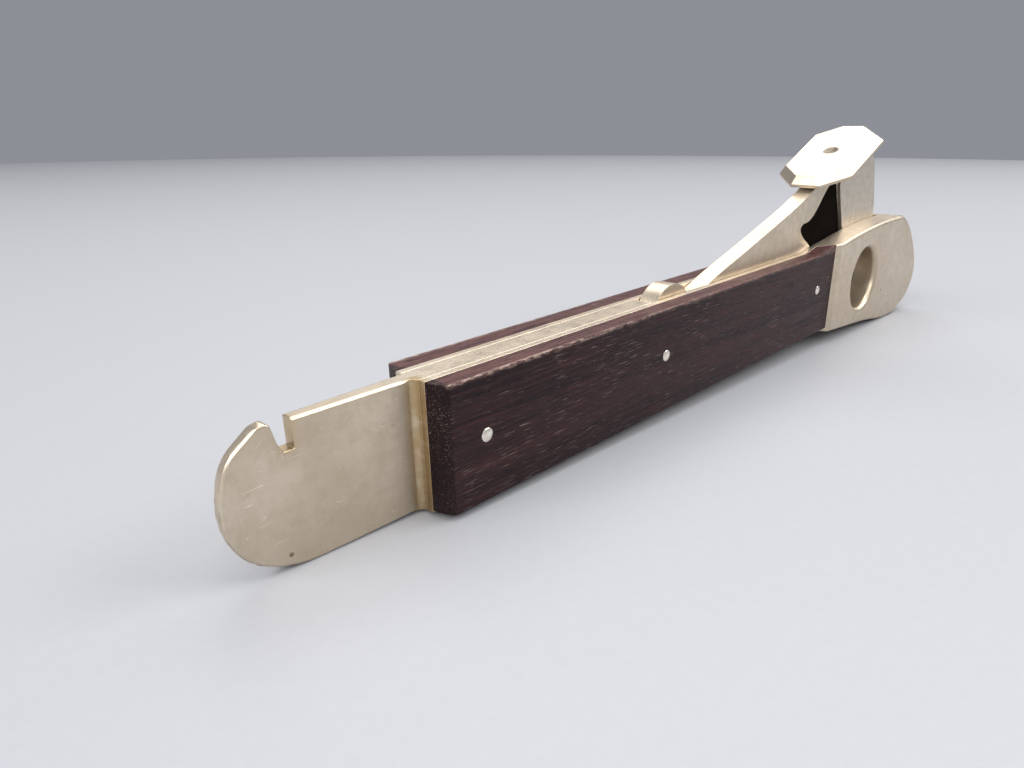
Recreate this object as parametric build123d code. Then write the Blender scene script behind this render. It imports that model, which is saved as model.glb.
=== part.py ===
from build123d import *
import math
import os

os.makedirs("parts", exist_ok=True)

# Driving dimensions, in millimetres. The working frame has x = 0 at the tail end of
# the handle, +X towards the cutting head, y = 0 in the middle of the core plate and
# z = 0 on the underside of the handle. place() moves it to the row frame.
FRAME_HEIGHT = 16.0
CORE_HALF = 1.6
LINER_HALF = 2.6
SCALE_HALF = 5.4
HEAD_HALF = 6.2
SCALE_BOTTOM = 0.4
FLARE_START = 96.4
FLARE_END = 99.8

BLADE_NEAR = -0.75
BLADE_FAR_TIP = 0.7
STEP_FILLET = 0.8

BORE_X = 114.6
BORE_Z = 8.0
BORE_R = 6.4

POCKET_REAR_X = 43.0
POCKET_FRONT_X = 130.0
POCKET_FLOOR = 2.2

PIVOT_X = 48.5
PIVOT_Z = 12.8
PIVOT_R = 1.5
PIVOT_HOLE_R = 1.55
KNUCKLE_R = 5.0

ARM_HALF = 1.5
TANG_HALF = 0.8
TANG_SLOT_HALF = 0.85
BLADE_RIVET_R = 0.9

PLATE_TAIL_X = 93.95
PLATE_TAIL_Z = 27.85
PLATE_LENGTH = 23.0
PLATE_HALF = 7.0
PLATE_CUT = 4.3
PLATE_THICK = 1.9
PLATE_BEVEL = 1.1
PLATE_TILT_DEG = 23.5
STUD_R = 1.4
DIMPLE_R = 1.3

SCALE_RIVET_R = 0.85
RIVET_CROWN = 0.22
RIVETS = (("rear_scale_rivet", 6.2, 8.6), ("middle_scale_rivet", 41.8, 9.0))
FRONT_PIN_X = 92.8
FRONT_PIN_Z = 9.3

SPRING_HALF = 1.3
SPRING_THICK = 0.55
SPRING_RIVET_X = 84.0
SPRING_RIVET_R = 0.8
SPRING_HEAD_R = 1.2

HEAD_DROP = 4.1
LENGTH_MIDDLE = 62.35


def place(shape):
    return Pos(-LENGTH_MIDDLE, 0, HEAD_DROP) * shape


def save(shape, name):
    export_step(place(shape), f"parts/{name}.step")


def side_slab(wire_face, y_low, y_high):
    """Extrude a face drawn in the XZ plane between two y values."""
    solid = extrude(wire_face, amount=y_high - y_low, dir=(0, 1, 0))
    return Pos(0, y_low, 0) * solid


def cross_pin(x, z, radius, y_low, y_high):
    """A round bar across the handle, along Y."""
    bar = Cylinder(radius, y_high - y_low, align=(Align.CENTER, Align.CENTER, Align.MIN))
    return Pos(x, y_low, z) * Rot(-90, 0, 0) * bar


def outline_face(*edges):
    return make_face(Wire(list(edges)))


def xz(x, z):
    return (x, 0, z)


def frame_outline(rear_edges, rear_top, rear_bottom):
    """The side view of handle and head, closed at the rear by the given edges."""
    top = Line(xz(*rear_top), xz(91.0, FRAME_HEIGHT))
    rise = Spline(
        [
            xz(91.0, FRAME_HEIGHT),
            xz(96.5, 16.8),
            xz(101.0, 17.3),
            xz(105.0, 17.8),
            xz(110.0, 18.3),
            xz(116.0, 18.75),
            xz(123.0, 19.05),
            xz(131.0, 19.1),
        ],
        tangents=[(1, 0, 0), (1, 0, 0)],
    )
    nose = Spline(
        [
            xz(131.0, 19.1),
            xz(135.6, 18.1),
            xz(139.9, 15.2),
            xz(143.9, 11.1),
            xz(146.6, 7.2),
            xz(147.3, 3.8),
            xz(145.7, 0.2),
            xz(142.3, -2.3),
            xz(138.0, -3.7),
            xz(133.0, -HEAD_DROP),
        ],
        tangents=[(1, 0, 0), (-1, 0, 0)],
    )
    belly = Spline(
        [xz(133.0, -HEAD_DROP), xz(122.4, -2.8), xz(110.8, -1.5), xz(100.0, -0.5), xz(93.0, 0)],
        tangents=[(-1, 0, 0), (-1, 0, 0)],
    )
    bottom = Line(xz(93.0, 0), xz(*rear_bottom))
    return outline_face(top, rise, nose, belly, bottom, *rear_edges)


def handle_face():
    tail = Line(xz(0, 0), xz(0, FRAME_HEIGHT))
    return frame_outline([tail], (0, FRAME_HEIGHT), (0, 0))


def bore_tool():
    return cross_pin(BORE_X, BORE_Z, BORE_R, -HEAD_HALF - 1, HEAD_HALF + 1)


def opener_face():
    """The side view of the box opener blade with its nail notch."""
    tip = Spline(
        [
            xz(-10.0, -0.1),
            xz(-16.6, 0.45),
            xz(-20.6, 2.8),
            xz(-22.2, 5.6),
            xz(-22.6, 8.5),
            xz(-22.2, 11.3),
            xz(-20.8, 14.1),
            xz(-18.7, 15.7),
            xz(-17.2, 16.2),
        ],
        tangents=[(-1, 0, 0), (1, 0, 0.1)],
    )
    edges = [
        Line(xz(0.4, 0.0), xz(-10.0, -0.1)),
        tip,
        Line(xz(-17.2, 16.2), xz(-16.7, 15.9)),
        Line(xz(-16.7, 15.9), xz(-16.2, 13.8)),
        Line(xz(-16.2, 13.8), xz(-15.7, 12.85)),
        Line(xz(-15.7, 12.85), xz(-14.55, 12.85)),
        Line(xz(-14.55, 12.85), xz(-14.55, FRAME_HEIGHT)),
        Line(xz(-14.55, FRAME_HEIGHT), xz(0.4, FRAME_HEIGHT)),
        Line(xz(0.4, FRAME_HEIGHT), xz(0.4, 0.0)),
    ]
    return outline_face(*edges)


def opener_taper():
    """The plan view of the blade: a step with a small fillet at the root, then a taper."""
    corner = (-STEP_FILLET * 0.3, -CORE_HALF + 0.55)
    edges = [
        Line((-23.0, BLADE_NEAR), (-STEP_FILLET, BLADE_NEAR)),
        ThreePointArc((-STEP_FILLET, BLADE_NEAR), corner, (0.0, -CORE_HALF)),
        Line((0.0, -CORE_HALF), (0.4, -CORE_HALF)),
        Line((0.4, -CORE_HALF), (0.4, CORE_HALF)),
        Line((0.4, CORE_HALF), (-23.0, BLADE_FAR_TIP)),
        Line((-23.0, BLADE_FAR_TIP), (-23.0, BLADE_NEAR)),
    ]
    plan = make_face(Wire(edges))
    return Pos(0, 0, -1) * extrude(plan, amount=FRAME_HEIGHT + 2, dir=(0, 0, 1))


def pocket_tool():
    """The deep slot in the core plate that the lever folds into, open at the top."""
    points = [
        (POCKET_REAR_X, 30.0),
        (POCKET_REAR_X, POCKET_FLOOR),
        (98.0, POCKET_FLOOR),
        (101.5, -0.1),
        (112.0, -0.35),
        (122.0, -1.1),
        (POCKET_FRONT_X, -1.9),
        (POCKET_FRONT_X, 30.0),
    ]
    face = make_face(Polyline([xz(*p) for p in points], close=True))
    return side_slab(face, -4, 4)


def core_plate():
    handle = side_slab(handle_face(), -CORE_HALF, CORE_HALF)
    opener = side_slab(opener_face(), -4, 4) & opener_taper()
    plate = handle + opener
    plate -= pocket_tool()
    plate -= bore_tool()
    for name, x, z in RIVETS:
        plate -= cross_pin(x, z, SCALE_RIVET_R, -4, 4)
    hole = Cylinder(SPRING_RIVET_R, 6, align=(Align.CENTER, Align.CENTER, Align.CENTER))
    plate -= Pos(SPRING_RIVET_X, 0, 1.0) * hole
    return plate


def cheek(side):
    """A thin liner along the handle that flares out into one thick half of the head."""
    plan = make_face(
        Polyline(
            [
                (0, CORE_HALF),
                (0, LINER_HALF),
                (FLARE_START, LINER_HALF),
                (FLARE_END, HEAD_HALF),
                (150, HEAD_HALF),
                (150, CORE_HALF),
            ],
            close=True,
        )
    )
    body = Pos(0, 0, -10) * extrude(plan, amount=40, dir=(0, 0, 1))
    body &= side_slab(handle_face(), 0, 8)
    body -= bore_tool()
    for name, x, z in RIVETS:
        body -= cross_pin(x, z, SCALE_RIVET_R, -8, 8)
    body -= cross_pin(FRONT_PIN_X, FRONT_PIN_Z, SCALE_RIVET_R, -8, 8)
    body -= cross_pin(PIVOT_X, PIVOT_Z, PIVOT_R, -8, 8)
    if side < 0:
        body = mirror(body, about=Plane.XZ)
    return body


def scale(side):
    """A rosewood grip scale; its head end is cut to lie against the flare."""
    slope = (HEAD_HALF - LINER_HALF) / (FLARE_END - FLARE_START)
    end_out = FLARE_START + (SCALE_HALF - LINER_HALF) / slope
    plan = make_face(
        Polyline(
            [
                (0, LINER_HALF),
                (0.35, LINER_HALF + 1.6),
                (1.1, SCALE_HALF),
                (end_out, SCALE_HALF),
                (FLARE_START, LINER_HALF),
            ],
            close=True,
        )
    )
    board = Pos(0, 0, SCALE_BOTTOM) * extrude(plan, amount=FRAME_HEIGHT + 4, dir=(0, 0, 1))
    board &= side_slab(handle_face(), 0, 8)
    for name, x, z in RIVETS:
        board -= cross_pin(x, z, SCALE_RIVET_R, -8, 8)
    board -= cross_pin(FRONT_PIN_X, FRONT_PIN_Z, SCALE_RIVET_R, -8, 8)
    recess = cross_pin(PIVOT_X, PIVOT_Z, PIVOT_R + 0.7, 0, LINER_HALF + 0.6)
    board -= recess
    if side < 0:
        board = mirror(board, about=Plane.XZ)
    return board


def crown(x, z, y_face, side):
    """A low domed rivet head standing on the wood, as a slice of a ball."""
    radius = (SCALE_RIVET_R ** 2 + RIVET_CROWN ** 2) / (2 * RIVET_CROWN)
    ball = Pos(x, side * (y_face + RIVET_CROWN - radius), z) * Sphere(radius)
    keep = Pos(x, side * (y_face + 1.0), z) * Box(4, 2.0, 4)
    return ball & keep


def scale_rivet(x, z):
    pin = cross_pin(x, z, SCALE_RIVET_R, -SCALE_HALF, SCALE_HALF)
    return pin + crown(x, z, SCALE_HALF, 1) + crown(x, z, SCALE_HALF, -1)


def front_scale_pin(side):
    """A short pin that stops short of the pocket, so that the lever passes it."""
    pin = cross_pin(FRONT_PIN_X, FRONT_PIN_Z, SCALE_RIVET_R, CORE_HALF, SCALE_HALF)
    pin += crown(FRONT_PIN_X, FRONT_PIN_Z, SCALE_HALF, 1)
    if side < 0:
        pin = mirror(pin, about=Plane.XZ)
    return pin


def pivot_pin():
    shank = cross_pin(PIVOT_X, PIVOT_Z, PIVOT_R, -LINER_HALF, LINER_HALF)
    for low in (-LINER_HALF - 0.5, LINER_HALF):
        shank += cross_pin(PIVOT_X, PIVOT_Z, PIVOT_R + 0.5, low, low + 0.5)
    return shank


def blade_top(x):
    """Height of the thumb plate's underside above x, in the open position."""
    return PLATE_TAIL_Z + (x - PLATE_TAIL_X) * math.tan(math.radians(PLATE_TILT_DEG))


def arm_blank():
    """The lever arm in the open position, before its holes and its slot are cut."""
    knuckle = cross_pin(PIVOT_X, PIVOT_Z, KNUCKLE_R, -ARM_HALF, ARM_HALF)
    top = Spline(
        [
            xz(52.6, 15.0),
            xz(56.5, 15.3),
            xz(60.3, 16.5),
            xz(69.0, 19.1),
            xz(79.0, 22.1),
            xz(90.0, 25.6),
            xz(94.5, 27.4),
            xz(99.6, blade_top(99.6)),
        ]
    )
    edges = [
        top,
        Line(xz(99.6, blade_top(99.6)), xz(104.0, blade_top(104.0))),
        Line(xz(104.0, blade_top(104.0)), xz(102.8, 28.4)),
        Spline([xz(102.8, 28.4), xz(98.2, 24.6), xz(95.2, 22.2), xz(92.3, 21.6)]),
        Spline([xz(92.3, 21.6), xz(91.0, 20.6), xz(92.4, 19.0), xz(95.6, 17.0), xz(97.4, 14.6)]),
        Line(xz(97.4, 14.6), xz(97.0, 14.0)),
        Line(xz(97.0, 14.0), xz(77.5, 10.3)),
        Line(xz(77.5, 10.3), xz(62.5, 8.2)),
        Line(xz(62.5, 8.2), xz(50.6, 8.3)),
        Line(xz(50.6, 8.3), xz(48.5, PIVOT_Z)),
        Line(xz(48.5, PIVOT_Z), xz(52.6, 15.0)),
    ]
    web = side_slab(outline_face(*edges), -ARM_HALF, ARM_HALF)
    return knuckle + web


def tang_face():
    """The blackened rear part of the cutter blade, in the open position."""
    points = [
        (80.0, 11.4),
        (96.0, 13.5),
        (109.9, 13.9),
        (112.0, 15.2),
        (107.6, 26.0),
        (107.2, blade_top(107.2)),
        (104.3, blade_top(104.3)),
        (98.0, 26.2),
        (91.5, 23.9),
        (80.0, 16.0),
    ]
    return make_face(Polyline([xz(*p) for p in points], close=True))


def post_face():
    """The bright front part of the cutter blade, in the open position."""
    points = [
        (110.4, 13.75),
        (119.5, 15.35),
        (127.6, 16.1),
        (127.2, 21.5),
        (124.0, 30.2),
        (121.6, 33.2),
        (115.0, blade_top(115.0)),
        (107.0, blade_top(107.0)),
        (107.0, 27.2),
        (108.3, 24.2),
        (111.9, 16.4),
    ]
    return make_face(Polyline([xz(*p) for p in points], close=True))


def cutter_blade():
    blade = side_slab(tang_face(), -TANG_HALF, TANG_HALF)
    post = side_slab(post_face(), -ARM_HALF, ARM_HALF)
    blade += post
    for x, z in blade_rivet_places():
        blade -= cross_pin(x, z, BLADE_RIVET_R, -4, 4)
    return blade - on_plate(stud_neck())


def blade_rivet_places():
    return ((83.5, 13.4), (89.5, 14.4))


def lever_arm():
    arm = arm_blank()
    arm -= cross_pin(PIVOT_X, PIVOT_Z, PIVOT_HOLE_R, -4, 4)
    slot_face = offset(tang_face(), amount=0.06, kind=Kind.INTERSECTION)
    arm -= side_slab(slot_face, -TANG_SLOT_HALF, TANG_SLOT_HALF)
    arm -= side_slab(post_face(), -4, 4)
    arm -= on_plate(stud_neck())
    for x, z in blade_rivet_places():
        arm -= cross_pin(x, z, BLADE_RIVET_R, -4, 4)
    return arm


def blade_rivets():
    pins = []
    for x, z in blade_rivet_places():
        pins.append(cross_pin(x, z, BLADE_RIVET_R, -ARM_HALF, ARM_HALF))
    return Compound(children=pins)


def on_plate(shape):
    """Put a shape drawn on a level plate onto the tilted plate of the open lever."""
    return Pos(PLATE_TAIL_X, 0, PLATE_TAIL_Z) * Rot(0, -PLATE_TILT_DEG, 0) * shape


def octagon(length, half, cut, start):
    end = start + length
    return make_face(
        Polyline(
            [
                (start, -half + cut),
                (start + cut, -half),
                (end - cut, -half),
                (end, -half + cut),
                (end, half - cut),
                (end - cut, half),
                (start + cut, half),
                (start, half - cut),
            ],
            close=True,
        )
    )


def stud_neck():
    """The flat neck of the thumb plate's rivet, which is let into the blade below it."""
    neck = Box(2 * STUD_R, 1.8, 2.4, align=(Align.CENTER, Align.CENTER, Align.MIN))
    return Pos(PLATE_LENGTH / 2, 0, -2.4) * neck


def thumb_plate():
    lower = octagon(PLATE_LENGTH, PLATE_HALF, PLATE_CUT, 0.0)
    upper = octagon(PLATE_LENGTH - 2 * PLATE_BEVEL, PLATE_HALF - PLATE_BEVEL, PLATE_CUT - 0.4, PLATE_BEVEL)
    rim = 0.55
    slab = extrude(lower, amount=rim, dir=(0, 0, 1))
    bevel = loft([Pos(0, 0, rim) * lower, Pos(0, 0, PLATE_THICK) * upper], ruled=True)
    body = slab + bevel
    hole = Cylinder(STUD_R, 6, align=(Align.CENTER, Align.CENTER, Align.MIN))
    return on_plate(body - Pos(PLATE_LENGTH / 2, 0, -1) * hole)


def thumb_plate_rivet():
    """Round in the plate, a flat neck below it, and a hollow in the end that shows on top."""
    round_part = Cylinder(STUD_R, PLATE_THICK - 0.1, align=(Align.CENTER, Align.CENTER, Align.MIN))
    hollow = Pos(0, 0, PLATE_THICK + 0.9) * Sphere(DIMPLE_R + 0.25)
    return on_plate(Pos(PLATE_LENGTH / 2, 0, 0) * (round_part - hollow) + stud_neck())


def leaf_spring():
    """A bowed strip riveted to the pocket floor, whose free end lifts the arm near its pivot."""
    half = SPRING_THICK / 2
    low = POCKET_FLOOR + half
    path = Spline(
        [xz(80.5, low), xz(74.0, low + 0.7), xz(66.0, low + 2.9), xz(59.6, low + 4.75)],
        tangents=[(-1, 0, 0), (-1, 0, 0.2)],
    )
    flat = Line(xz(87.0, low), xz(80.5, low))
    start = Plane(origin=xz(87.0, low), x_dir=(0, 1, 0), z_dir=(-1, 0, 0))
    section = start * Rectangle(2 * SPRING_HALF, SPRING_THICK)
    strip = sweep(section, path=Wire([flat, path]))
    hole = Cylinder(SPRING_RIVET_R, 6, align=(Align.CENTER, Align.CENTER, Align.CENTER))
    return strip - Pos(SPRING_RIVET_X, 0, low) * hole


def spring_rivet():
    top = POCKET_FLOOR + SPRING_THICK
    shank = Cylinder(SPRING_RIVET_R, top, align=(Align.CENTER, Align.CENTER, Align.MIN))
    head = Pos(0, 0, top) * Cylinder(SPRING_HEAD_R, 0.4, align=(Align.CENTER, Align.CENTER, Align.MIN))
    return Pos(SPRING_RIVET_X, 0, 0) * (shank + head)


save(core_plate(), "core_plate")
save(cheek(-1), "near_cheek")
save(cheek(1), "far_cheek")
save(scale(-1), "near_scale")
save(scale(1), "far_scale")
for rivet_name, rivet_x, rivet_z in RIVETS:
    save(scale_rivet(rivet_x, rivet_z), rivet_name)
save(front_scale_pin(-1), "near_front_pin")
save(front_scale_pin(1), "far_front_pin")
save(pivot_pin(), "pivot_pin")
save(lever_arm(), "lever_arm")
save(cutter_blade(), "cutter_blade")
save(blade_rivets(), "blade_rivets")
save(thumb_plate(), "thumb_plate")
save(thumb_plate_rivet(), "thumb_plate_rivet")
save(leaf_spring(), "leaf_spring")
save(spring_rivet(), "spring_rivet")
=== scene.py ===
import math

import bmesh
import bpy
from mathutils import Matrix, Vector


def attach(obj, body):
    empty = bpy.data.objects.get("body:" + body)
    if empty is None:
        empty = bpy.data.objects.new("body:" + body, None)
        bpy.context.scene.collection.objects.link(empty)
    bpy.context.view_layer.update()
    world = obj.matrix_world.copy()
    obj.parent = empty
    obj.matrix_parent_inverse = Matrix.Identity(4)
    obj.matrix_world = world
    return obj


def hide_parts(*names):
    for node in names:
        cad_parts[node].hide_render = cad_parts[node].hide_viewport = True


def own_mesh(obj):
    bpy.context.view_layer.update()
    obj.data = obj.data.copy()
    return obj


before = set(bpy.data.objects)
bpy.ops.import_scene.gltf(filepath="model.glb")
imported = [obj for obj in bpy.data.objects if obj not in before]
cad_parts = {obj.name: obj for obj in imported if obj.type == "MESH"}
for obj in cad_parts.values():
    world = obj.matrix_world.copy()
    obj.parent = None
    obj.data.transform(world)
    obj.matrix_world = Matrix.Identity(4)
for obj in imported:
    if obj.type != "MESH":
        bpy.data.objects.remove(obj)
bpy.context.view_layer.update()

# The handle's tail end and underside, in the row frame, in metres.
TAIL_X = -0.06235
UNDERSIDE_Z = 0.0041
MM = 0.001

# Places on the cutter, in millimetres from the tail end and underside of the handle.
BORE_X = 114.6
BORE_Z = 8.0
HEAD_START_X = 95.0
HEAD_RIM_START_X = 101.5
OPENER_END_X = -0.9
NOTCH_X = (-17.2, -14.3)
NOTCH_LOWEST_Z = 12.6
# The painted shade on the blade's tang, under the thumb plate, ends along this slanted line.
SHADED_TANG_END_X = 111.9
SHADED_TANG_END_Z = 16.4
SHADED_TANG_SLANT = 0.466
BELLY_FROM_TAIL = 133.0


def at(x, y, z):
    """A point given in millimetres from the tail end and underside of the handle."""
    return Vector((TAIL_X + x * MM, y * MM, UNDERSIDE_Z + z * MM))


# ---------------------------------------------------------------- node helpers


class Mix:
    """Builds one material's nodes, left to right."""

    def __init__(self, name):
        self.material = bpy.data.materials.new(name)
        self.material.use_nodes = True
        self.tree = self.material.node_tree
        self.shader = self.tree.nodes["Principled BSDF"]
        self.place = self.add("ShaderNodeTexCoord").outputs["Object"]

    def add(self, kind, **values):
        node = self.tree.nodes.new(kind)
        for key, value in values.items():
            setattr(node, key, value)
        return node

    def join(self, source, target):
        if isinstance(source, (int, float, tuple)):
            target.default_value = source
        else:
            self.tree.links.new(source, target)

    def stretched(self, scale, turn=(0, 0, 0), shift=(0, 0, 0)):
        node = self.add("ShaderNodeMapping", vector_type="TEXTURE")
        node.inputs["Scale"].default_value = tuple(1.0 / part for part in scale)
        node.inputs["Rotation"].default_value = turn
        node.inputs["Location"].default_value = shift
        self.join(self.place, node.inputs["Vector"])
        return node.outputs["Vector"]

    def noise(self, vector, scale, detail=4.0, rough=0.55, warp=0.0):
        node = self.add("ShaderNodeTexNoise")
        node.inputs["Scale"].default_value = scale
        node.inputs["Detail"].default_value = detail
        node.inputs["Roughness"].default_value = rough
        node.inputs["Distortion"].default_value = warp
        self.join(vector, node.inputs["Vector"])
        return node.outputs["Fac"]

    def cells(self, vector, scale):
        node = self.add("ShaderNodeTexVoronoi")
        node.inputs["Scale"].default_value = scale
        self.join(vector, node.inputs["Vector"])
        return node.outputs["Distance"]

    def ramp(self, value, low, high, out_low=0.0, out_high=1.0):
        node = self.add("ShaderNodeMapRange", interpolation_type="SMOOTHSTEP")
        self.join(value, node.inputs["Value"])
        node.inputs["From Min"].default_value = low
        node.inputs["From Max"].default_value = high
        node.inputs["To Min"].default_value = out_low
        node.inputs["To Max"].default_value = out_high
        return node.outputs["Result"]

    def math(self, operation, a, b=0.0):
        node = self.add("ShaderNodeMath", operation=operation)
        self.join(a, node.inputs[0])
        self.join(b, node.inputs[1])
        return node.outputs[0]

    def axes(self):
        node = self.add("ShaderNodeSeparateXYZ")
        self.join(self.place, node.inputs[0])
        return node.outputs["X"], node.outputs["Y"], node.outputs["Z"]

    def blend(self, share, a, b, mode="MIX"):
        node = self.add("ShaderNodeMix", data_type="RGBA", blend_type=mode)
        self.join(share, node.inputs[0])
        self.join(a, node.inputs[6])
        self.join(b, node.inputs[7])
        return node.outputs[2]

    def colour(self, socket):
        self.join(socket, self.shader.inputs["Base Color"])

    def roughness(self, socket):
        self.join(socket, self.shader.inputs["Roughness"])

    def relief(self, height, depth, strength=1.0, below=None):
        node = self.add("ShaderNodeBump")
        node.inputs["Strength"].default_value = strength
        node.inputs["Distance"].default_value = depth
        self.join(height, node.inputs["Height"])
        if below is not None:
            self.join(below, node.inputs["Normal"])
        self.join(node.outputs["Normal"], self.shader.inputs["Normal"])
        return node.outputs["Normal"]


def rgb(r, g, b):
    return (r, g, b, 1.0)


def near(mix, value, centre, reach):
    """One at the given height along an axis, fading to nothing at the reach."""
    away = mix.math("ABSOLUTE", mix.math("SUBTRACT", value, centre))
    return mix.ramp(away, 0.0, reach, 1.0, 0.0)


# ------------------------------------------------------------------- finishes


def scratch_layers(mix, settings):
    """Several sets of fine straight scratches, each lying its own way across the sides."""
    total = None
    for turn, length, fineness, cut in settings:
        lines = mix.noise(mix.stretched((length, fineness, fineness), (0, turn, 0)), 1.0, 2.0, 0.5)
        marks = mix.ramp(lines, cut, cut + 0.07)
        total = marks if total is None else mix.math("MAXIMUM", total, marks)
    return total


def worn_nickel_silver():
    """Warm grey metal with fine scratches, pits low down and tarnish at the step and notch."""
    mix = Mix("worn_nickel_silver")
    x, y, z = mix.axes()
    broad = mix.noise(mix.place, 90.0, 3.0, 0.6)
    mottled = mix.noise(mix.place, 620.0, 6.0, 0.65)
    fine = mix.noise(mix.place, 4200.0, 4.0, 0.6)
    base = mix.blend(mix.ramp(broad, 0.3, 0.7), rgb(0.545, 0.455, 0.345), rgb(0.64, 0.555, 0.445))
    base = mix.blend(mix.ramp(mottled, 0.35, 0.75, 0.0, 0.55), base, rgb(0.47, 0.39, 0.29))
    scratches = scratch_layers(
        mix,
        (
            (math.radians(24), 420.0, 5200.0, 0.67),
            (math.radians(-40), 520.0, 6200.0, 0.69),
            (math.radians(80), 480.0, 5600.0, 0.68),
            (math.radians(-4), 300.0, 7000.0, 0.68),
        ),
    )
    base = mix.blend(mix.math("MULTIPLY", scratches, 0.35), base, rgb(0.86, 0.80, 0.70))
    # Darker towards the underside, by an amount that varies over the metal.
    darker_low_down = mix.ramp(z, UNDERSIDE_Z - 0.002, UNDERSIDE_Z + 0.012, 0.34, 0.0)
    darker_low_down = mix.math("MULTIPLY", darker_low_down, mix.ramp(broad, 0.25, 0.65, 0.55, 1.0))
    base = mix.blend(darker_low_down, base, rgb(0.30, 0.25, 0.19))
    pits = mix.cells(mix.place, 420.0)
    deep = mix.ramp(pits, 0.07, 0.15, 1.0, 0.0)
    where = mix.ramp(mix.noise(mix.place, 130.0, 2.0), 0.49, 0.60)
    low = mix.ramp(z, UNDERSIDE_Z + 0.002, UNDERSIDE_Z + 0.011, 1.0, 0.15)
    deep = mix.math("MULTIPLY", mix.math("MULTIPLY", deep, where), low)
    base = mix.blend(mix.math("MULTIPLY", deep, 0.8), base, rgb(0.10, 0.075, 0.05))
    root = near(mix, x, TAIL_X - 0.0002, 0.0016)
    root = mix.math("MULTIPLY", root, mix.ramp(y, 0.0, -0.0006, 0.0, 1.0))
    root = mix.math("MULTIPLY", root, mix.ramp(mottled, 0.25, 0.6, 0.45, 1.0))
    base = mix.blend(mix.math("MULTIPLY", root, 0.75), base, rgb(0.36, 0.235, 0.085))
    notch = near(mix, x, TAIL_X - 0.0152, 0.0016)
    above_notch_floor = mix.ramp(z, UNDERSIDE_Z + 0.0123, UNDERSIDE_Z + 0.0131)
    notch = mix.math("MULTIPLY", notch, above_notch_floor)
    base = mix.blend(mix.math("MULTIPLY", notch, 0.5), base, rgb(0.50, 0.33, 0.13))
    mix.colour(base)
    rough = mix.ramp(mottled, 0.2, 0.8, 0.30, 0.46)
    rough = mix.math("SUBTRACT", rough, mix.math("MULTIPLY", scratches, 0.07))
    rough = mix.math("ADD", rough, mix.math("MULTIPLY", deep, 0.3))
    mix.roughness(rough)
    mix.shader.inputs["Metallic"].default_value = 0.92
    height = mix.math("ADD", mix.math("MULTIPLY", fine, 0.10), mix.math("MULTIPLY", scratches, -0.35))
    height = mix.math("SUBTRACT", height, mix.math("MULTIPLY", deep, 1.0))
    height = mix.math("ADD", height, mix.math("MULTIPLY", mottled, 0.5))
    mix.relief(height, 0.00006, 0.6)
    return mix.material


def bright_rivet():
    """Rubbed white metal of the rivet heads."""
    mix = Mix("bright_rivet")
    mottled = mix.noise(mix.place, 1800.0, 5.0, 0.6)
    base = mix.blend(mottled, rgb(0.66, 0.60, 0.50), rgb(0.90, 0.86, 0.78))
    mix.colour(base)
    mix.roughness(mix.ramp(mottled, 0.2, 0.8, 0.22, 0.38))
    mix.shader.inputs["Metallic"].default_value = 0.95
    mix.relief(mottled, 0.00004, 0.5)
    return mix.material


def dark_rosewood():
    """Dark purple-brown wood with long pores, darker end grain, a rubbed, frayed top edge and painted
    highlight on the top face.
    """
    mix = Mix("dark_rosewood")
    x, y, z = mix.axes()
    bands = mix.noise(mix.stretched((16.0, 420.0, 420.0)), 1.0, 5.0, 0.6, 0.6)
    streaks = mix.noise(mix.stretched((60.0, 2600.0, 2600.0)), 1.0, 4.0, 0.6, 0.3)
    base = mix.blend(mix.ramp(bands, 0.3, 0.7), rgb(0.009, 0.0036, 0.0048), rgb(0.028, 0.0105, 0.0115))
    base = mix.blend(mix.ramp(streaks, 0.45, 0.8, 0.0, 0.7), base, rgb(0.062, 0.024, 0.024))
    # Painted highlight: the top face is painted a lighter red-brown where light from above falls on it.
    on_top = mix.ramp(z, UNDERSIDE_Z + 0.01565, UNDERSIDE_Z + 0.0159)
    painted_top_light = mix.math("MULTIPLY", on_top, mix.ramp(streaks, 0.3, 0.7, 0.35, 0.9))
    base = mix.blend(painted_top_light, base, rgb(0.095, 0.043, 0.039))
    end_grain = mix.ramp(x, TAIL_X + 0.0009, TAIL_X + 0.0014, 0.75, 0.0)
    base = mix.blend(end_grain, base, rgb(0.006, 0.0025, 0.003))
    pores = mix.noise(mix.stretched((330.0, 7600.0, 7600.0), (0, math.radians(0.8), 0)), 1.0, 2.0, 0.5)
    open_pores = mix.ramp(pores, 0.61, 0.67)
    dusty = mix.ramp(mix.noise(mix.place, 140.0, 3.0), 0.38, 0.68, 0.15, 0.85)
    base = mix.blend(mix.math("MULTIPLY", open_pores, dusty), base, rgb(0.20, 0.145, 0.13))
    other_pores = mix.noise(mix.stretched((240.0, 6200.0, 6200.0), shift=(3, 7, 2)), 1.0, 2.0)
    black_pores = mix.ramp(other_pores, 0.60, 0.66)
    base = mix.blend(mix.math("MULTIPLY", black_pores, 0.8), base, rgb(0.004, 0.002, 0.002))
    out = mix.ramp(mix.math("ABSOLUTE", y), 0.00475, 0.00545)
    high = mix.ramp(z, UNDERSIDE_Z + 0.0154, UNDERSIDE_Z + 0.01605)
    edge = mix.math("MULTIPLY", out, high)
    frayed = mix.noise(mix.stretched((700.0, 2400.0, 2400.0)), 1.0, 5.0, 0.7)
    tailward = mix.ramp(x, TAIL_X + 0.002, TAIL_X + 0.070, 1.0, 0.25)
    frayed = mix.math("MULTIPLY", mix.ramp(frayed, 0.42, 0.62), tailward)
    base = mix.blend(mix.math("MULTIPLY", edge, frayed), base, rgb(0.36, 0.27, 0.23))
    mix.colour(base)
    mix.roughness(mix.ramp(streaks, 0.25, 0.8, 0.34, 0.56))
    mix.shader.inputs["Specular IOR Level"].default_value = 0.14
    height = mix.math("SUBTRACT", mix.math("MULTIPLY", streaks, 0.4), open_pores)
    height = mix.math("SUBTRACT", height, black_pores)
    mix.relief(height, 0.00007, 0.7)
    return mix.material


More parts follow.
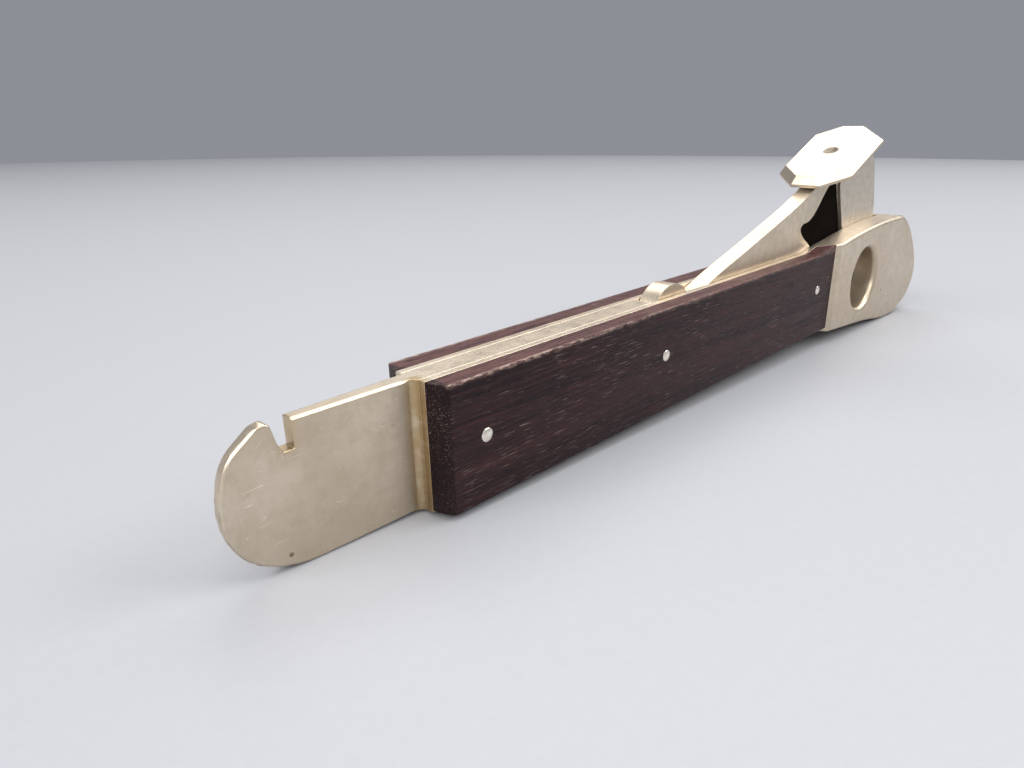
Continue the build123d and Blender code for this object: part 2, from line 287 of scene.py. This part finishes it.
def blade_steel():
    """Bright where the blade is ground; the tang behind it is painted near-black as painted shade under
    the thumb plate.
    """
    mix = Mix("blade_steel_with_painted_shade_behind")
    x, y, z = mix.axes()
    mottled = mix.noise(mix.place, 700.0, 6.0, 0.65)
    fine = mix.noise(mix.stretched((900.0, 5200.0, 5200.0), (0, math.radians(78), 0)), 1.0, 3.0)
    bright = mix.blend(mix.ramp(mottled, 0.3, 0.7), rgb(0.50, 0.445, 0.37), rgb(0.61, 0.55, 0.47))
    # Painted shade: behind the slanted line the tang is painted near-black, rougher and not metallic,
    # for the shadow and dark reflection beneath the thumb plate.
    slant = mix.math("ADD", x, mix.math("MULTIPLY", z, SHADED_TANG_SLANT))
    end = at(SHADED_TANG_END_X, 0.0, SHADED_TANG_END_Z)
    border = end.x + SHADED_TANG_SLANT * end.z
    wander = mix.math("MULTIPLY", mix.math("SUBTRACT", mottled, 0.5), 0.0004)
    black = mix.ramp(mix.math("ADD", slant, wander), border - 0.0002, border + 0.0001, 1.0, 0.0)
    shade_black = mix.blend(mottled, rgb(0.004, 0.003, 0.003), rgb(0.012, 0.009, 0.007))
    mix.colour(mix.blend(black, bright, shade_black))
    ground = mix.ramp(fine, 0.2, 0.8, 0.34, 0.46)
    mix.roughness(mix.math("ADD", ground, mix.math("MULTIPLY", black, 0.35)))
    bare = mix.math("SUBTRACT", 0.92, mix.math("MULTIPLY", black, 0.92))
    mix.join(bare, mix.shader.inputs["Metallic"])
    mix.shader.inputs["Specular IOR Level"].default_value = 0.0
    mix.relief(mix.math("ADD", fine, mottled), 0.00003, 0.5)
    return mix.material


def spring_steel():
    """Blue-grey steel of the hidden spring and pins."""
    mix = Mix("blued_spring_steel")
    mottled = mix.noise(mix.place, 900.0, 5.0)
    mix.colour(mix.blend(mottled, rgb(0.055, 0.06, 0.075), rgb(0.15, 0.14, 0.14)))
    mix.roughness(mix.ramp(mottled, 0.2, 0.8, 0.32, 0.5))
    mix.shader.inputs["Metallic"].default_value = 0.9
    mix.relief(mottled, 0.00003, 0.4)
    return mix.material


def dimple_finish():
    """Dull metal in the hollow end of the thumb plate's rivet."""
    mix = Mix("dark_dimple")
    mottled = mix.noise(mix.place, 1500.0, 5.0)
    mix.colour(mix.blend(mottled, rgb(0.14, 0.115, 0.09), rgb(0.30, 0.26, 0.21)))
    mix.roughness(mix.ramp(mottled, 0.2, 0.8, 0.4, 0.6))
    mix.shader.inputs["Metallic"].default_value = 0.8
    mix.relief(mottled, 0.00004, 0.5)
    return mix.material


def pale_floor():
    """Plain, faintly uneven studio floor."""
    mix = Mix("pale_floor")
    fine = mix.noise(mix.place, 700.0, 3.0)
    unevenness = mix.ramp(fine, 0.3, 0.7, 0.0, 0.3)
    mix.colour(mix.blend(unevenness, rgb(0.30, 0.305, 0.325), rgb(0.28, 0.285, 0.305)))
    mix.roughness(0.55)
    return mix.material


# --------------------------------------------------------------------- pieces


def deselect_all():
    if bpy.context.object and bpy.context.object.mode != "OBJECT":
        bpy.ops.object.mode_set(mode="OBJECT")
    bpy.ops.object.select_all(action="DESELECT")


def softened(node, body, finish, width_at, segments=3, sharp=28.0, clamp=True):
    """A copy of a plain part with its sharp edges rounded over, standing in its place.

    width_at is one rounding in millimetres, or a function of x, y and z that gives it.
    """
    deselect_all()
    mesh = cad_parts[node].data.copy()
    piece = bpy.data.objects.new(node + "_finished", mesh)
    bpy.context.scene.collection.objects.link(piece)
    bpy.context.view_layer.objects.active = piece
    piece.select_set(True)
    bpy.ops.object.mode_set(mode="EDIT")
    bpy.ops.mesh.select_all(action="SELECT")
    bpy.ops.mesh.remove_doubles(threshold=0.000002)
    bpy.ops.mesh.dissolve_limited(angle_limit=math.radians(0.6))
    bpy.ops.mesh.normals_make_consistent(inside=False)
    bpy.ops.object.mode_set(mode="OBJECT")
    widest = mark_roundings(mesh, width_at, math.radians(sharp))
    edge = piece.modifiers.new("edges", "BEVEL")
    edge.width = widest * MM
    edge.segments = segments
    edge.limit_method = "WEIGHT"
    edge.use_clamp_overlap = clamp
    bpy.ops.object.modifier_apply(modifier=edge.name)
    bpy.ops.object.shade_smooth_by_angle(angle=math.radians(32.0))
    flat = piece.modifiers.new("flat_faces_stay_flat", "WEIGHTED_NORMAL")
    flat.keep_sharp = True
    flat.weight = 100
    bpy.ops.object.modifier_apply(modifier=flat.name)
    mesh.materials.clear()
    mesh.materials.append(finish)
    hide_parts(node)
    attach(piece, body)
    return piece


def mark_roundings(mesh, width_at, sharp):
    """Gives each sharp edge its own share of the widest rounding; returns the widest, in mm."""
    shape = bmesh.new()
    shape.from_mesh(mesh)
    share = shape.edges.layers.float.new("bevel_weight_edge")
    widths = {}
    for edge in shape.edges:
        if len(edge.link_faces) == 2 and edge.calc_face_angle() > sharp:
            middle = (edge.verts[0].co + edge.verts[1].co) / 2
            x, y, z = (middle.x - TAIL_X) / MM, middle.y / MM, (middle.z - UNDERSIDE_Z) / MM
            widths[edge] = width_at(x, y, z) if callable(width_at) else width_at
    widest = max(widths.values())
    for edge, width in widths.items():
        edge[share] = width / widest
    shape.to_mesh(mesh)
    shape.free()
    return widest


def from_bore(x, z):
    """Distance from the middle of the cigar bore, in the side view."""
    return math.hypot(x - BORE_X, z - BORE_Z)


def plate_edges(x, y, z):
    """The opener's rim is rubbed round; its notch and the seams along the handle are crisp."""
    if x < OPENER_END_X:
        in_notch = NOTCH_X[0] < x < NOTCH_X[1] and z > NOTCH_LOWEST_Z
        return 0.12 if in_notch else 0.38
    if from_bore(x, z) < 6.8:
        return 0.05
    return 0.07


def cheek_edges(x, y, z):
    """The head's outside rim and the bore's mouth are well rounded; the liner is crisp."""
    if abs(y) < 1.8:
        return 0.06
    if from_bore(x, z) < 7.0:
        return 1.1 if abs(y) > 5.5 else 0.1
    if x > HEAD_RIM_START_X and abs(y) > 5.5:
        return 0.8
    if x > HEAD_START_X and abs(y) > 2.7:
        return 0.28
    return 0.10


def scale_edges(x, y, z):
    """The wood is rubbed rounder along its lower outside corner."""
    return 0.42 if abs(y) > 5.0 and z < 3.0 else 0.16


nickel = worn_nickel_silver()
wood = dark_rosewood()
rivet = bright_rivet()
steel = blade_steel()
spring = spring_steel()
dimple = dimple_finish()

softened("core_plate", "frame", nickel, plate_edges, clamp=False)
softened("near_cheek", "frame", nickel, cheek_edges, segments=4, clamp=False)
softened("far_cheek", "frame", nickel, cheek_edges, segments=4, clamp=False)
softened("near_scale", "frame", wood, scale_edges)
softened("far_scale", "frame", wood, scale_edges)
softened("lever_arm", "lever", nickel, 0.16)
softened("cutter_blade", "lever", steel, 0.10)
softened("thumb_plate", "lever", nickel, 0.12)
softened("thumb_plate_rivet", "lever", dimple, 0.05)
for head in ("rear_scale_rivet", "middle_scale_rivet", "near_front_pin", "far_front_pin"):
    softened(head, "frame", rivet, 0.03, sharp=50.0)
softened("blade_rivets", "lever", rivet, 0.05)
softened("pivot_pin", "frame", spring, 0.08)
softened("spring_rivet", "frame", spring, 0.08)
leaf = softened("leaf_spring", "frame", spring, 0.08)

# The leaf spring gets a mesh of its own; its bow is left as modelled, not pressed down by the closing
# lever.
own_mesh(leaf)

# ------------------------------------------------------------ floor and light

# The cutter rests on the belly of its head and the underside of the box opener.
BELLY_X = TAIL_X + BELLY_FROM_TAIL * MM
LEAN = math.atan2(0.0040, 0.143)

deselect_all()
bpy.ops.mesh.primitive_circle_add(vertices=128, radius=1.05, fill_type="NGON")
floor = bpy.context.object
floor.name = "floor"
floor.rotation_euler = (0, LEAN, 0)
floor.location = (0, 0, BELLY_X * math.tan(LEAN) - 0.00005)
floor.data.materials.append(pale_floor())


def soft_light(name, place, look_at, width, height, power, colour=(1, 1, 1)):
    data = bpy.data.lights.new(name, "AREA")
    data.shape = "RECTANGLE"
    data.size = width
    data.size_y = height
    data.energy = power
    data.color = colour
    light = bpy.data.objects.new(name, data)
    bpy.context.scene.collection.objects.link(light)
    light.location = place
    aim = Vector(look_at) - Vector(place)
    light.rotation_euler = aim.to_track_quat("-Z", "Y").to_euler()
    return light


soft_light("far_panel", (0.62, 0.45, 0.95), (0.0, 0.0, 0.0), 1.3, 0.6, 9.5, (1.0, 0.985, 0.97))
soft_light("tail_panel", (-0.80, 0.10, 0.62), (0.04, 0.0, 0.02), 0.6, 0.5, 9.0, (1.0, 0.99, 0.97))
soft_light("tail_near_panel", (-0.55, -0.75, 0.65), (0.04, 0.0, 0.02), 0.6, 0.5, 6.0, (1.0, 0.99, 0.97))
soft_light("overhead", (0.05, -0.25, 1.0), (0.0, 0.0, 0.0), 0.7, 0.6, 6.0, (1.0, 0.99, 0.98))
soft_light("front_fill", (0.80, -0.68, 0.75), (0.05, 0.0, 0.01), 0.9, 0.5, 12.0, (1.0, 0.99, 0.98))

world = bpy.data.worlds.new("studio")
bpy.context.scene.world = world
world.use_nodes = True
world.node_tree.nodes["Background"].inputs["Color"].default_value = (0.80, 0.84, 0.92, 1.0)
world.node_tree.nodes["Background"].inputs["Strength"].default_value = 0.33

# --------------------------------------------------------------------- camera

YAW = math.radians(45.55)
PITCH = math.radians(20.9)
ROLL = math.radians(-1.33)
FOCAL_WIDTHS = 715.4 / 1024.0

ahead = Vector((math.cos(YAW) * math.cos(PITCH), math.sin(YAW) * math.cos(PITCH), -math.sin(PITCH)))
level_right = Vector((math.sin(YAW), -math.cos(YAW), 0.0))
level_up = level_right.cross(ahead)
right = level_right * math.cos(ROLL) + level_up * math.sin(ROLL)
up = level_up * math.cos(ROLL) - level_right * math.sin(ROLL)

camera_data = bpy.data.cameras.new("camera")
camera_data.sensor_width = 36.0
camera_data.lens = 36.0 * FOCAL_WIDTHS
camera_data.clip_start = 0.01
camera_data.clip_end = 40.0
camera = bpy.data.objects.new("camera", camera_data)
bpy.context.scene.collection.objects.link(camera)
turn = Matrix((right, up, -ahead)).transposed().to_4x4()
camera.matrix_world = Matrix.Translation(at(-43.08, -59.77, 42.67)) @ turn
bpy.context.scene.camera = camera

bpy.context.scene.view_settings.view_transform = "Standard"
